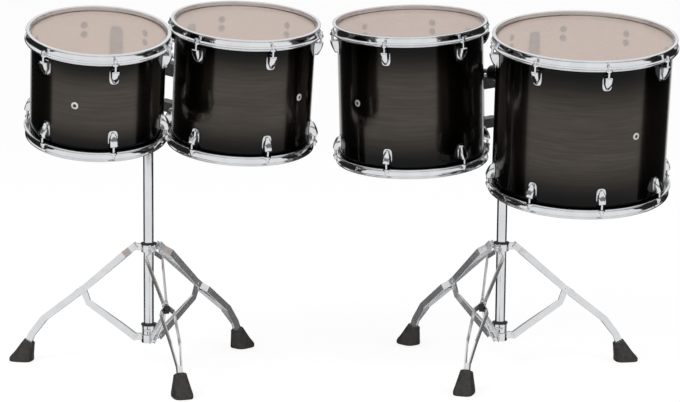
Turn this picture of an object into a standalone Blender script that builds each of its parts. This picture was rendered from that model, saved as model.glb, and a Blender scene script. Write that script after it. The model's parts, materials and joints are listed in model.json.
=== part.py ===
"""A set of four concert toms on two folding tripod stands, in metres, +Z up.

Each stand carries two double headed drums. The left stand holds the 12 and 13 inch drums,
the right stand the 14 and 16 inch ones. The players' side is -Y, and every drum leans that way.
"""

import math

import bmesh
import bpy
from mathutils import Matrix, Vector

INCH = 0.0254
GAP = 0.0003
RING_STEPS = 28

# The four drums: rim centre before the set is centred, lean of the axis to +X and to -Y in
# degrees, and azimuths in degrees clockwise from +Y as seen from above.
DRUMS = (
    dict(name="drum_12", inches=12, depth=0.229, rim=(-0.539, 4.900, 0.856), lean=(3.4, 16.0),
         lugs=6, lug_at=-20.2, vent_at=192.2, bracket_at=9.8, corner=0.004, reach=0.054,
         stand="left"),
    dict(name="drum_13", inches=13, depth=0.276, rim=(-0.221, 5.104, 0.867), lean=(3.1, 11.6),
         lugs=6, lug_at=-22.9, vent_at=125.8, bracket_at=-57.0, corner=0.020, reach=0.094,
         stand="left"),
    dict(name="drum_14", inches=14, depth=0.321, rim=(0.164, 5.300, 0.857), lean=(-1.9, 8.5),
         lugs=6, lug_at=20.1, vent_at=227.5, bracket_at=60.0, corner=0.022, reach=0.104,
         stand="right"),
    dict(name="drum_16", inches=16, depth=0.349, rim=(0.556, 5.035, 0.845), lean=(0.1, 12.0),
         lugs=8, lug_at=-8.3, vent_at=148.8, bracket_at=-30.7, corner=0.022, reach=0.100,
         stand="right"),
)
# The two stands: mast position, azimuth of the front leg clockwise from -Y, top of the mast.
STANDS = (
    dict(name="left", at=(-0.4655, 5.300), front_leg=18.4, mast_top=0.862),
    dict(name="right", at=(0.3988, 5.360), front_leg=-18.4, mast_top=0.790),
)

# Drums
SHELL_INSET = 0.0020
SHELL_WALL = 0.0060
HOOP_RISE = 0.0110
HOOP_HEIGHT = 0.0235
HOOP_LIP = 0.0085
HOOP_FLANGE = 0.0115
EAR_REACH = 0.0175
EAR_HALF_WIDTH = 0.0080
EAR_THICK = 0.0044
ROD_OUT = 0.0115
ROD_RADIUS = 0.0030
ROD_HEAD_HEIGHT = 0.0095
ROD_IN_LUG = 0.0120
BORE_CLEARANCE = 0.0004
FILM = 0.0005
HEAD_RING_DEPTH = 0.0085
LUG_BELOW_HOOP = 0.0120
LUG_HEIGHT = 0.0340
LUG_HALF_WIDTH = 0.0095
LUG_DEPTH = 0.0210
LUG_FACE_SHARE = 0.70
LUG_POINT_SHARE = 0.38
VENT_RADIUS = 0.0050

# Drum bracket: two bored blocks on a plate, bolted through the shell to a backing plate
BRACKET_ROD_OUT = 0.0280
BRACKET_BLOCK_LENGTH = 0.0680
BRACKET_BLOCK_HALF_WIDTH = 0.0130
BRACKET_UPPER_HEIGHT = 0.0310
BRACKET_LOWER_HEIGHT = 0.0240
BRACKET_BELOW_CORNER = 0.0320
PLATE_THICK = 0.0030
PLATE_HALF_WIDTH = 0.0140
PLATE_MARGIN = 0.0060
BOLT_RADIUS = 0.0030

# Tom arm: an L-shaped rod with a ball at the mast
ARM_RADIUS = 0.00635
ARM_BEND = 0.0140
ARM_TAIL = 0.0250
ARM_BORE = 0.0071
BALL_RADIUS = 0.0140
SOCKET_RADIUS = 0.0156
SOCKET_OUT = 0.0360
SOCKET_BLOCK = (0.0420, 0.0400, 0.0420)
MOUTH = ((0.0110, 0.0102), (0.0220, 0.0200))

# Mast
TUBE_RADIUS = 0.0127
TUBE_BORE = 0.0116
MAST_RADIUS = 0.0111
MAST_FOOT = 0.3600
TUBE_FOOT = 0.0630
TUBE_TOP = 0.5600
COLLAR_RADIUS = 0.0210
COLLAR_HEIGHT = 0.1000
CLAMP_RADIUS = 0.0185
CLAMP_SPAN = (0.5370, 0.5870)
CLAMP_EAR = (0.0200, 0.0160, 0.0260)
WING_OUT = 0.0300
WING_SHAFT_RADIUS = 0.0035
WING_SPAN = 0.0440
WING_REACH = (0.0040, 0.0190)
WING_THICK = 0.0040
WING_BOSS = (0.0070, 0.0120)
WING_SHAFT_ENDS = (0.0060, 0.0080)

# Tripod: upper and lower hubs with three ears each, legs and braces of flat steel strip
HUB_RADIUS = 0.0185
HUB_BORE = 0.0131
PIVOT_OUT = 0.0365
LEG_HUB_Z = 0.3000
LEG_HUB_SPAN = (0.2880, 0.3230)
BRACE_HUB_Z = 0.0765
BRACE_HUB_SPAN = (0.0615, 0.1080)
EAR_HALF = 0.0040
EAR_HEIGHT_HALF = 0.0085
LINK = 0.1720
STRIP_HEIGHT = 0.0160
LEG_STRIP = 0.0030
BRACE_STRIP = 0.0025
PIN_RADIUS = 0.0030
PIN_HOLE = 0.0034
PIN_HEAD = 0.0015
LEG_BOW = 0.0200
LEG_BOW_LOW = 0.0165
LEG_BEND = (0.2680, 0.1110)
LEG_ANKLE = (0.3020, 0.0680)
LEG_TIP = (0.3130, 0.0400)
TIP_HALF = (0.0065, 0.0060)
FOOT_TOP = dict(r=(0.2925, 0.3160), half=0.0135, z=(0.0640, 0.0760))
FOOT_WAIST = dict(r=(0.2960, 0.3330), half=0.0185, z=(0.0300, 0.0400))
FOOT_HEEL = dict(r=(0.2990, 0.3540), half=0.0235, z=(0.0110, 0.0110))


def clear_scene():
    for item in list(bpy.data.objects):
        bpy.data.objects.remove(item, do_unlink=True)


def new_collection(name):
    collection = bpy.data.collections.new(name)
    bpy.context.scene.collection.children.link(collection)
    return collection


def new_material(name, colour, roughness, metallic):
    material = bpy.data.materials.new(name)
    material.use_nodes = True
    shader = material.node_tree.nodes["Principled BSDF"]
    shader.inputs["Base Color"].default_value = (*colour, 1)
    shader.inputs["Roughness"].default_value = roughness
    shader.inputs["Metallic"].default_value = metallic
    material.diffuse_color = (*colour, 1)
    return material


clear_scene()
PARTS = new_collection("concert_toms")
CUTTERS = new_collection("cutters")
CHROME = new_material("chrome", (0.80, 0.81, 0.83), 0.12, 1.0)
LACQUER = new_material("lacquer", (0.045, 0.040, 0.036), 0.15, 0.0)
FILM_CLEAR = new_material("head_film", (0.72, 0.66, 0.62), 0.30, 0.0)
BLACK_CAST = new_material("black_cast", (0.020, 0.020, 0.022), 0.35, 0.0)
RUBBER = new_material("rubber", (0.035, 0.034, 0.033), 0.75, 0.0)


def new_empty(name, parent=None, frame=None):
    empty = bpy.data.objects.new(name, None)
    empty.empty_display_size = 0.03
    PARTS.objects.link(empty)
    empty.parent = parent
    empty.matrix_local = frame or Matrix()
    return empty


def new_object(name, mesh, material, parent, frame=None):
    item = bpy.data.objects.new(name, mesh)
    mesh.materials.clear()
    mesh.materials.append(material)
    mesh.shade_smooth()
    mesh.set_sharp_from_angle(angle=math.radians(35))
    PARTS.objects.link(item)
    item.parent = parent
    item.matrix_local = frame or Matrix()
    return item


def new_cutter(name, mesh, parent, frame=None):
    cutter = bpy.data.objects.new(name, mesh)
    CUTTERS.objects.link(cutter)
    cutter.parent = parent
    cutter.matrix_local = frame or Matrix()
    cutter.hide_render = True
    cutter.display_type = "WIRE"
    return cutter


def add_boolean(item, cutter, operation="DIFFERENCE"):
    modifier = item.modifiers.new(operation.lower(), "BOOLEAN")
    modifier.operation = operation
    modifier.solver = "EXACT"
    modifier.object = cutter


def add_screw(item, steps=RING_STEPS):
    modifier = item.modifiers.new("turn", "SCREW")
    modifier.steps = steps
    modifier.render_steps = steps
    modifier.use_merge_vertices = True
    modifier.merge_threshold = 0.00005
    modifier.use_smooth_shade = True


def mesh_from(build, name):
    """A mesh whose bmesh is filled by the function build."""
    work = bmesh.new()
    build(work)
    bmesh.ops.recalc_face_normals(work, faces=work.faces[:])
    mesh = bpy.data.meshes.new(name)
    work.to_mesh(mesh)
    work.free()
    return mesh


def profile_mesh(name, points, closed):
    """Edges through (radius, z) points, for a Screw modifier to turn."""
    mesh = bpy.data.meshes.new(name)
    count = len(points)
    edges = [(i, (i + 1) % count) for i in range(count if closed else count - 1)]
    mesh.from_pydata([(radius, 0, z) for radius, z in points], edges, [])
    return mesh


def turned(name, points, material, parent, frame=None, closed=True, steps=RING_STEPS):
    item = new_object(name, profile_mesh(name, points, closed), material, parent, frame)
    add_screw(item, steps)
    return item


def cylinder_in(work, radius, start, end, segments=12, end_radius=None):
    """A cylinder or cone between two points."""
    start, end = Vector(start), Vector(end)
    axis = end - start
    turn = axis.to_track_quat("Z", "Y").to_matrix().to_4x4()
    place = Matrix.Translation((start + end) / 2) @ turn
    bmesh.ops.create_cone(work, cap_ends=True, segments=segments, radius1=radius,
                          radius2=radius if end_radius is None else end_radius,
                          depth=axis.length, matrix=place)


def box_in(work, low, high):
    low, high = Vector(low), Vector(high)
    place = Matrix.Translation((low + high) / 2) @ Matrix.Diagonal((*(high - low), 1))
    bmesh.ops.create_cube(work, size=1, matrix=place)


def loft_in(work, sections):
    """A closed skin through sections of equal point count."""
    rings = [[work.verts.new(point) for point in section] for section in sections]
    for near, far in zip(rings, rings[1:]):
        for i in range(len(near)):
            j = (i + 1) % len(near)
            work.faces.new((near[i], near[j], far[j], far[i]))
    work.faces.new(rings[0][::-1])
    work.faces.new(rings[-1])


def ring_points(radius, z, sides, turn=0.0):
    step = 2 * math.pi / sides
    return [Vector((radius * math.cos(turn + i * step), radius * math.sin(turn + i * step), z))
            for i in range(sides)]


def about(angle_deg):
    """Rotation about Z that carries +Y to an azimuth clockwise from +Y."""
    return Matrix.Rotation(-math.radians(angle_deg), 4, "Z")


def direction(azimuth_deg):
    angle = math.radians(azimuth_deg)
    return Vector((math.sin(angle), math.cos(angle), 0))


def drum_radius(drum):
    return drum["inches"] * INCH / 2


def shell_radius(drum):
    return drum_radius(drum) - SHELL_INSET


def drum_frame(drum):
    """Frame on the bore of the drum's bracket: +Z up the drum's axis, +Y out of the shell."""
    lean_x, lean_y = (math.tan(math.radians(angle)) for angle in drum["lean"])
    up = Vector((lean_x, -lean_y, 1)).normalized()
    out = direction(drum["bracket_at"])
    out = (out - out.dot(up) * up).normalized()
    side = out.cross(up)
    middle = Vector(drum["rim"]) - up * (drum["depth"] / 2 + HOOP_RISE)
    place = middle + out * (shell_radius(drum) + BRACKET_ROD_OUT)
    frame = Matrix((side, out, up)).transposed().to_4x4()
    return Matrix.Translation(place) @ frame


def lug_azimuths(drum):
    """Azimuths of the tension rods in the drum's own frame."""
    return [drum["lug_at"] - drum["bracket_at"] + i * 360 / drum["lugs"]
            for i in range(drum["lugs"])]


def flip(side):
    """Mirrors heights for the lower end of a drum."""
    return Matrix.Diagonal((1, 1, side, 1))


def lug_sections(drum):
    """A shield outline, flat at the hoop end and pointed at the other, narrowing outwards."""
    top = drum["depth"] / 2 + HOOP_RISE - HOOP_HEIGHT - LUG_BELOW_HOOP
    point = top - LUG_HEIGHT
    shoulder = point + LUG_HEIGHT * LUG_POINT_SHARE
    outline = [(-1, top), (1, top), (1, shoulder), (0, point), (-1, shoulder)]
    inner = shell_radius(drum) - SHELL_WALL / 3
    outer = shell_radius(drum) + LUG_DEPTH
    return [[Vector((x * LUG_HALF_WIDTH * share, radius, z)) for x, z in outline]
            for radius, share in ((inner, 1), (outer, LUG_FACE_SHARE))]


def lug_top(drum):
    return drum["depth"] / 2 + HOOP_RISE - HOOP_HEIGHT - LUG_BELOW_HOOP


def rod_sections(drum, radius, low, high):
    centre = Vector((0, drum_radius(drum) + ROD_OUT, 0))
    return [[centre + point for point in ring_points(radius, z, 6)] for z in (high, low)]


def make_shell(drum, axis):
    name = drum["name"]
    outer = shell_radius(drum)
    half = drum["depth"] / 2
    inner = outer - SHELL_WALL
    shell = turned(f"{name}_shell", [(outer, half), (outer, -half), (inner, -half), (inner, half)],
                   LACQUER, axis)

    def lugs(work):
        for turn in lug_azimuths(drum):
            for side in (1, -1):
                place = about(turn) @ flip(side)
                loft_in(work, [[place @ p for p in ring] for ring in lug_sections(drum)])

    def bores(work):
        top = lug_top(drum)
        for turn in lug_azimuths(drum):
            for side in (1, -1):
                place = about(turn) @ flip(side)
                rings = rod_sections(drum, ROD_RADIUS + BORE_CLEARANCE,
                                     top - ROD_IN_LUG - GAP, top + LUG_BELOW_HOOP / 2)
                loft_in(work, [[place @ p for p in ring] for ring in rings])
        reach = Vector((0, outer + SHELL_WALL, 0))
        vent = about(drum["vent_at"] - drum["bracket_at"])
        cylinder_in(work, VENT_RADIUS, vent @ (reach * 0.9), vent @ reach, 8)
        for z in bolt_heights(drum):
            start = Vector((0, inner - SHELL_WALL, z))
            cylinder_in(work, BOLT_RADIUS + BORE_CLEARANCE, start,
                        (0, outer + SHELL_WALL, z), 6)

    add_boolean(shell, new_cutter(f"{name}_lugs", mesh_from(lugs, "lugs"), axis), "UNION")
    add_boolean(shell, new_cutter(f"{name}_bores", mesh_from(bores, "bores"), axis))
    return shell


def make_hoop(drum, axis, side):
    """A triple flanged hoop with its ears and tension rods. side is 1 at the top, -1 below."""
    name = f"{drum['name']}_{'top' if side > 0 else 'bottom'}_hoop"
    radius = drum_radius(drum)
    rim = drum["depth"] / 2 + HOOP_RISE
    ledge = drum["depth"] / 2 + FILM + 2 * GAP
    low = rim - HOOP_HEIGHT
    outline = [(HOOP_LIP, rim), (0.0050, rim - 0.0045), (0.0050, low + 0.0045),
               (HOOP_FLANGE, low), (0.0030, low), (0.0030, ledge), (0.0006, ledge), (0.0006, rim)]
    points = [(radius + out, z) for out, z in outline]
    frame = Matrix() if side > 0 else Matrix.Rotation(math.pi, 4, "Y")
    hoop = turned(name, points, CHROME, axis, frame)
    local = frame.inverted() @ flip(side)

    def ears(work):
        for turn in lug_azimuths(drum):
            place = local @ about(turn)
            start = len(work.verts)
            box_in(work, (-EAR_HALF_WIDTH, radius + 0.0040, low + 0.0002),
                   (EAR_HALF_WIDTH, radius + EAR_REACH, low + EAR_THICK))
            work.verts.ensure_lookup_table()
            bmesh.ops.transform(work, matrix=place, verts=work.verts[start:])

    def rods(work):
        for turn in lug_azimuths(drum):
            place = local @ about(turn)
            rings = rod_sections(drum, ROD_RADIUS, lug_top(drum) - ROD_IN_LUG,
                                 low + EAR_THICK + ROD_HEAD_HEIGHT)
            loft_in(work, [[place @ p for p in ring] for ring in rings])

    add_boolean(hoop, new_cutter(f"{name}_ears", mesh_from(ears, "ears"), axis, frame), "UNION")
    add_boolean(hoop, new_cutter(f"{name}_rods", mesh_from(rods, "rods"), axis, frame), "UNION")
    return hoop


def make_head(drum, axis, side):
    """A clear film on a flesh ring that hangs over the shell's edge."""
    name = f"{drum['name']}_{'batter' if side > 0 else 'resonant'}_head"
    radius = drum_radius(drum)
    edge = drum["depth"] / 2
    points = [(0, edge + GAP + FILM), (radius + 0.0024, edge + GAP + FILM),
              (radius + 0.0024, edge - HEAD_RING_DEPTH),
              (radius - 0.0014, edge - HEAD_RING_DEPTH), (radius - 0.0014, edge + GAP),
              (0, edge + GAP)]
    frame = Matrix() if side > 0 else Matrix.Rotation(math.pi, 4, "Y")
    return turned(name, points, FILM_CLEAR, axis, frame, closed=False)


def block_spans(drum):
    """Heights of the bracket's upper and lower blocks in the drum's frame."""
    upper = drum["corner"] - BRACKET_BELOW_CORNER
    lower = upper - drum["reach"]
    return ((upper - BRACKET_UPPER_HEIGHT / 2, upper + BRACKET_UPPER_HEIGHT / 2),
            (lower - BRACKET_LOWER_HEIGHT / 2, lower + BRACKET_LOWER_HEIGHT / 2))


def bolt_heights(drum):
    """One bolt through the shell behind each block."""
    return [sum(span) / 2 for span in block_spans(drum)]


def make_bracket(drum, bore):
    """Plate, two bored blocks, two bolts and the backing plate inside the shell."""
    name = f"{drum['name']}_bracket"
    wall = -BRACKET_ROD_OUT
    upper, lower = block_spans(drum)
    top, foot = upper[1] + PLATE_MARGIN, lower[0] - PLATE_MARGIN
    inside = wall - SHELL_WALL - GAP

    def plate(work):
        box_in(work, (-PLATE_HALF_WIDTH, wall + GAP, foot),
               (PLATE_HALF_WIDTH, wall + GAP + PLATE_THICK, top))

    def blocks(work):
        for low, high in (upper, lower):
            box_in(work, (-BRACKET_BLOCK_HALF_WIDTH, wall + PLATE_THICK / 2, low),
                   (BRACKET_BLOCK_HALF_WIDTH, wall + BRACKET_BLOCK_LENGTH, high))

    def backing(work):
        sag = PLATE_HALF_WIDTH * math.tan(math.pi / RING_STEPS)
        box_in(work, (-PLATE_HALF_WIDTH, inside - sag - PLATE_THICK, foot),
               (PLATE_HALF_WIDTH, inside - sag, top))

    def bolts(work):
        for z in bolt_heights(drum):
            cylinder_in(work, BOLT_RADIUS, (0, inside - 2 * PLATE_THICK, z),
                        (0, wall + PLATE_THICK, z), 6)

    def holes(work):
        cylinder_in(work, ARM_BORE, (0, 0, foot - PLATE_MARGIN), (0, 0, top + PLATE_MARGIN), 12)

    bracket = new_object(name, mesh_from(plate, name), BLACK_CAST, bore)
    for shape in (blocks, backing, bolts):
        cutter = new_cutter(f"{name}_{shape.__name__}", mesh_from(shape, "shape"), bore)
        add_boolean(bracket, cutter, "UNION")
    add_boolean(bracket, new_cutter(f"{name}_bore", mesh_from(holes, "bore"), bore))
    return bracket


def ball_centre(drum, stand, frame):
    """Centre of the arm's ball, beside the mast, level with the arm's corner."""
    up = frame.col[2].to_3d()
    corner = frame @ Vector((0, 0, drum["corner"]))
    mast = Vector((*stand["at"], 0))
    away = Vector((corner.x - mast.x, corner.y - mast.y, 0)).normalized()
    ball = mast + away * SOCKET_OUT
    ball.z = corner.z - (up.x * (ball.x - corner.x) + up.y * (ball.y - corner.y)) / up.z
    return ball


def bent_path(start, corner, end, radius, steps=4):
    """Points from start to end with an arc of the given radius at the corner."""
    to_start = (start - corner).normalized()
    to_end = (end - corner).normalized()
    centre = corner + (to_start + to_end) * radius
    arc = []
    for i in range(steps + 1):
        angle = math.pi / 2 * i / steps
        arc.append(centre - to_end * radius * math.cos(angle) - to_start * radius * math.sin(angle))
    return [start, *arc, end]


def tube_object(name, points, radius, material, parent):
    """A solid rod along points, made a mesh so that shapes can be joined to it."""
    curve = bpy.data.curves.new(name, "CURVE")
    curve.dimensions = "3D"
    curve.bevel_depth = radius
    curve.bevel_resolution = 2
    curve.resolution_u = 1
    curve.render_resolution_u = 0
    curve.use_fill_caps = True
    spline = curve.splines.new("POLY")
    spline.points.add(len(points) - 1)
    for target, point in zip(spline.points, points):
        target.co = (*point, 1)
    wire = bpy.data.objects.new(f"{name}_wire", curve)
    PARTS.objects.link(wire)
    bpy.context.view_layer.update()
    depsgraph = bpy.context.evaluated_depsgraph_get()
    mesh = bpy.data.meshes.new_from_object(wire.evaluated_get(depsgraph))
    bpy.data.objects.remove(wire, do_unlink=True)
    work = bmesh.new()
    work.from_mesh(mesh)
    bmesh.ops.remove_doubles(work, verts=work.verts[:], dist=0.00001)
    bmesh.ops.recalc_face_normals(work, faces=work.faces[:])
    work.to_mesh(mesh)
    work.free()
    return new_object(name, mesh, material, parent)


def make_arm(drum, pivot, drum_world, ball):
    """The L-shaped rod: ball at the mast, level leg, bend, and the leg through the bracket."""
    to_local = pivot.matrix_world.inverted()
    corner = to_local @ (drum_world @ Vector((0, 0, drum["corner"])))
    lower_end = block_spans(drum)[1][0] - ARM_TAIL
    tail = to_local @ (drum_world @ Vector((0, 0, lower_end)))
    start = to_local @ ball
    path = bent_path(start, corner, tail, ARM_BEND)
    arm = tube_object(f"{drum['name']}_arm", path, ARM_RADIUS, CHROME, pivot)

    def knob(work):
        bmesh.ops.create_uvsphere(work, u_segments=12, v_segments=8, radius=BALL_RADIUS,
                                  matrix=Matrix.Translation(start))

    cutter = new_cutter(f"{drum['name']}_ball", mesh_from(knob, "ball"), pivot)
    add_boolean(arm, cutter, "UNION")
    return arm


def make_holder(stand, head, balls):
    """A cast collar on the mast's top with a socket for the ball of each arm."""
    name = f"{stand['name']}_tom_holder"
    top = stand["mast_top"] + 0.0060
    low = top - COLLAR_HEIGHT

    def collar(work):
        cylinder_in(work, COLLAR_RADIUS, (0, 0, low), (0, 0, top), 16)

    holder = new_object(name, mesh_from(collar, name), BLACK_CAST, head)
    width, length, height = SOCKET_BLOCK

    def housing(work):
        box_in(work, (-width / 2, -length / 2, -height / 2), (width / 2, length / 2, height / 2))

    def socket(work):
        angles = [math.radians(angle) for angle in (-70, -35, 0, 38)]
        spans = [(SOCKET_RADIUS * math.sin(a), SOCKET_RADIUS * math.cos(a)) for a in angles]
        loft_in(work, [[Vector((p.x, out, p.y)) for p in ring_points(radius, 0, 12)]
                       for out, radius in (*spans, *MOUTH)])

    for shape, operation in ((housing, "UNION"), (socket, "DIFFERENCE")):
        for drum, ball, out in balls:
            side = out.cross(Vector((0, 0, 1))).normalized()
            turn = Matrix((side, out, side.cross(out))).transposed().to_4x4()
            cutter = new_cutter(f"{drum['name']}_{shape.__name__}", mesh_from(shape, "shape"),
                                head, Matrix.Translation(ball) @ turn)
            add_boolean(holder, cutter, operation)

    def bore(work):
        cylinder_in(work, MAST_RADIUS + GAP, (0, 0, low - 0.0100),
                    (0, 0, stand["mast_top"] + GAP), 24)

    add_boolean(holder, new_cutter(f"{name}_bore", mesh_from(bore, "bore"), head))
    return holder


def make_mast(stand, base, slide):
    """The outer tube, the inner tube that slides in it, and the clamp with its wing bolt."""
    name = stand["name"]
    turned(f"{name}_base_tube",
           [(TUBE_RADIUS, TUBE_TOP), (TUBE_RADIUS, TUBE_FOOT), (TUBE_BORE, TUBE_FOOT),
            (TUBE_BORE, TUBE_TOP)], CHROME, base, steps=24)
    turned(f"{name}_upper_tube",
           [(0, stand["mast_top"]), (MAST_RADIUS, stand["mast_top"]), (MAST_RADIUS, MAST_FOOT),
            (0, MAST_FOOT)], CHROME, slide, closed=False, steps=24)

    low, high = CLAMP_SPAN
    depth, width, height = CLAMP_EAR
    middle = (low + high) / 2

    def body(work):
        cylinder_in(work, CLAMP_RADIUS, (0, 0, low), (0, 0, high), 24)

    def ear(work):
        box_in(work, (-width / 2, CLAMP_RADIUS - 0.0040, middle - height / 2),
               (width / 2, CLAMP_RADIUS + depth, middle + height / 2))

    def bores(work):
        cylinder_in(work, TUBE_RADIUS + GAP, (0, 0, low - 0.01), (0, 0, TUBE_TOP + GAP), 24)

    def neck(work):
        cylinder_in(work, MAST_RADIUS + GAP, (0, 0, TUBE_TOP - 0.005), (0, 0, high + 0.01), 24)

    def slit(work):
        box_in(work, (-0.0010, 0, low - 0.01),
               (0.0010, CLAMP_RADIUS + depth + 0.01, high + 0.01))

    def bolt_hole(work):
        cylinder_in(work, WING_SHAFT_RADIUS + GAP * 1.5, (-width, WING_OUT, middle),
                    (width, WING_OUT, middle), 8)

    clamp = new_object(f"{name}_height_clamp", mesh_from(body, "clamp"), CHROME, base)
    for shape, operation in ((ear, "UNION"), (bores, "DIFFERENCE"), (neck, "DIFFERENCE"),
                             (slit, "DIFFERENCE"), (bolt_hole, "DIFFERENCE")):
        cutter = new_cutter(f"{name}_clamp_{shape.__name__}", mesh_from(shape, "shape"), base)
        add_boolean(clamp, cutter, operation)

    frame = Matrix.Translation((0, WING_OUT, middle))
    bolt_axis = new_empty(f"{name}_wing_axis", base, frame)

    def shaft(work):
        cylinder_in(work, WING_SHAFT_RADIUS, (-width / 2 - WING_SHAFT_ENDS[0], 0, 0),
                    (width / 2 + WING_SHAFT_ENDS[1], 0, 0), 8)

    def boss(work):
        radius, length = WING_BOSS
        cylinder_in(work, radius, (width / 2 + GAP, 0, 0), (width / 2 + length, 0, 0), 8)

    def wings(work):
        start, end = (width / 2 + reach for reach in WING_REACH)
        outline = [(start, -WING_SPAN / 4), (start, WING_SPAN / 4), (end, WING_SPAN / 2),
                   (end, -WING_SPAN / 2)]
        loft_in(work, [[Vector((x, y, z)) for x, y in outline]
                       for z in (-WING_THICK / 2, WING_THICK / 2)])

    bolt = new_object(f"{name}_wing_bolt", mesh_from(shaft, "bolt"), CHROME, bolt_axis)
    for shape in (boss, wings):
        cutter = new_cutter(f"{name}_wing_{shape.__name__}", mesh_from(shape, "shape"), bolt_axis)
        add_boolean(bolt, cutter, "UNION")


def leg_azimuths(stand):
    """The front leg, then the other two, clockwise from +Y."""
    front = 180 - stand["front_leg"]
    return [front, front + 120, front + 240]


def make_hub(name, stand, parent, height, span, pinned):
    """A ring round the tube with three ears. The leg hub's ears are bored for the leg pins."""
    low, high = span

    def body(work):
        cylinder_in(work, HUB_RADIUS, (0, 0, low), (0, 0, high), 24)

    def ears(work):
        for azimuth in leg_azimuths(stand):
            start = len(work.verts)
            box_in(work, (-EAR_HALF, HUB_RADIUS - 0.0050, height - EAR_HEIGHT_HALF),
                   (EAR_HALF, PIVOT_OUT + 0.0075, height + EAR_HEIGHT_HALF))
            work.verts.ensure_lookup_table()
            bmesh.ops.transform(work, matrix=about(azimuth), verts=work.verts[start:])

    def bore(work):
        cylinder_in(work, HUB_BORE, (0, 0, low - 0.01), (0, 0, high + 0.01), 24)

    def pins(work):
        for azimuth in leg_azimuths(stand):
            turn = about(azimuth)
            cylinder_in(work, PIN_HOLE, turn @ Vector((-0.02, PIVOT_OUT, height)),
                        turn @ Vector((0.02, PIVOT_OUT, height)), 8)

    hub = new_object(name, mesh_from(body, name), CHROME, parent)
    shapes = [(ears, "UNION"), (bore, "DIFFERENCE")]
    if pinned:
        shapes.append((pins, "DIFFERENCE"))
    for shape, operation in shapes:
        cutter = new_cutter(f"{name}_{shape.__name__}", mesh_from(shape, "shape"), parent)
        add_boolean(hub, cutter, operation)
    return hub


def strip_in(work, path, thickness):
    """A flat strip on edge: path holds (radius, sideways offset, z), thickness is sideways."""
    points = [Vector((side, radius, z)) for radius, side, z in path]
    sections = []
    for i, point in enumerate(points):
        before = points[max(i - 1, 0)]
        after = points[min(i + 1, len(points) - 1)]
        along = after - before
        up = Vector((0, -along.z, along.y)).normalized() * STRIP_HEIGHT / 2
        if up.z < 0:
            up.negate()
        side = Vector((thickness / 2, 0, 0))
        sections.append([point - side - up, point + side - up, point + side + up,
                         point - side + up])
    loft_in(work, sections)


def mid_joint():
    """Radius and height of the pivot between leg and brace."""
    half = (LEG_HUB_Z - BRACE_HUB_Z) / 2
    return PIVOT_OUT + math.sqrt(LINK ** 2 - half ** 2), BRACE_HUB_Z + half


def leg_path(side):
    """One strip of a leg. The two strips bow apart below each pivot."""
    radius, height = mid_joint()
    at_ear = EAR_HALF + GAP + LEG_STRIP / 2
    at_mid = BRACE_STRIP + GAP + LEG_STRIP / 2

    def upper(share, offset):
        return (PIVOT_OUT + (radius - PIVOT_OUT) * share, side * offset,
                LEG_HUB_Z + (height - LEG_HUB_Z) * share)

    def lower(share, offset):
        return (radius + (LEG_BEND[0] - radius) * share, side * offset,
                height + (LEG_BEND[1] - height) * share)

    ankle_half = TIP_HALF[0] - LEG_STRIP / 2
    return [upper(-0.04, at_ear), upper(0.07, at_ear), upper(0.16, LEG_BOW),
            upper(0.94, at_mid), lower(0.07, at_mid), lower(0.20, LEG_BOW_LOW),
            (*[LEG_BEND[0], side * (LEG_BOW_LOW + ankle_half) / 2], LEG_BEND[1]),
            (LEG_ANKLE[0], side * ankle_half, LEG_ANKLE[1]),
            (LEG_TIP[0], side * ankle_half, LEG_TIP[1])]


def make_leg(stand, number, pivot):
    """Two strips, the hub pin, the brace pin and the solid tip that the foot fits on."""
    name = f"{stand['name']}_leg_{number}"
    radius, height = mid_joint()
    shift = Matrix.Translation((0, -PIVOT_OUT, -LEG_HUB_Z))
    reach = EAR_HALF + GAP + LEG_STRIP + PIN_HEAD

    def first(work):
        strip_in(work, leg_path(1), LEG_STRIP)

    def second(work):
        strip_in(work, leg_path(-1), LEG_STRIP)

    def pins(work):
        cylinder_in(work, PIN_RADIUS, (-reach, PIVOT_OUT, LEG_HUB_Z), (reach, PIVOT_OUT, LEG_HUB_Z),
                    8)
        mid_reach = BRACE_STRIP + GAP + LEG_STRIP + PIN_HEAD
        cylinder_in(work, PIN_RADIUS, (-mid_reach, radius, height), (mid_reach, radius, height), 8)

    def tip(work):
        low, high = Vector((0, *LEG_TIP)), Vector((0, *LEG_ANKLE))
        along = (high - low).normalized()
        across = Vector((0, -along.z, along.y)) * TIP_HALF[1]
        side = Vector((TIP_HALF[0] - 0.0004, 0, 0))
        loft_in(work, [[point - side - across, point + side - across, point + side + across,
                        point - side + across] for point in (low - along * 0.002, high)])

    leg = new_object(name, mesh_from(first, name), CHROME, pivot, shift)
    for shape in (second, pins, tip):
        cutter = new_cutter(f"{name}_{shape.__name__}", mesh_from(shape, "shape"), pivot, shift)
        add_boolean(leg, cutter, "UNION")
    return leg


def brace_path(side):
    """One strip of a brace, from the leg's pivot round its bend to the lower hub's ear."""
    radius, height = mid_joint()
    at_ear = EAR_HALF + GAP + BRACE_STRIP / 2
    at_mid = BRACE_STRIP / 2 - 0.0001
    bend = (radius - 0.0130, height - 0.0330)
    return [(radius + 0.0016, side * at_mid, height + 0.0070), (radius, side * at_mid, height),
            (bend[0], side * at_mid, bend[1]),
            (PIVOT_OUT + 0.0300, side * at_ear, BRACE_HUB_Z + 0.0210),
            (PIVOT_OUT, side * at_ear, BRACE_HUB_Z),
            (PIVOT_OUT - 0.0060, side * at_ear, BRACE_HUB_Z - 0.0042)]


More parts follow.
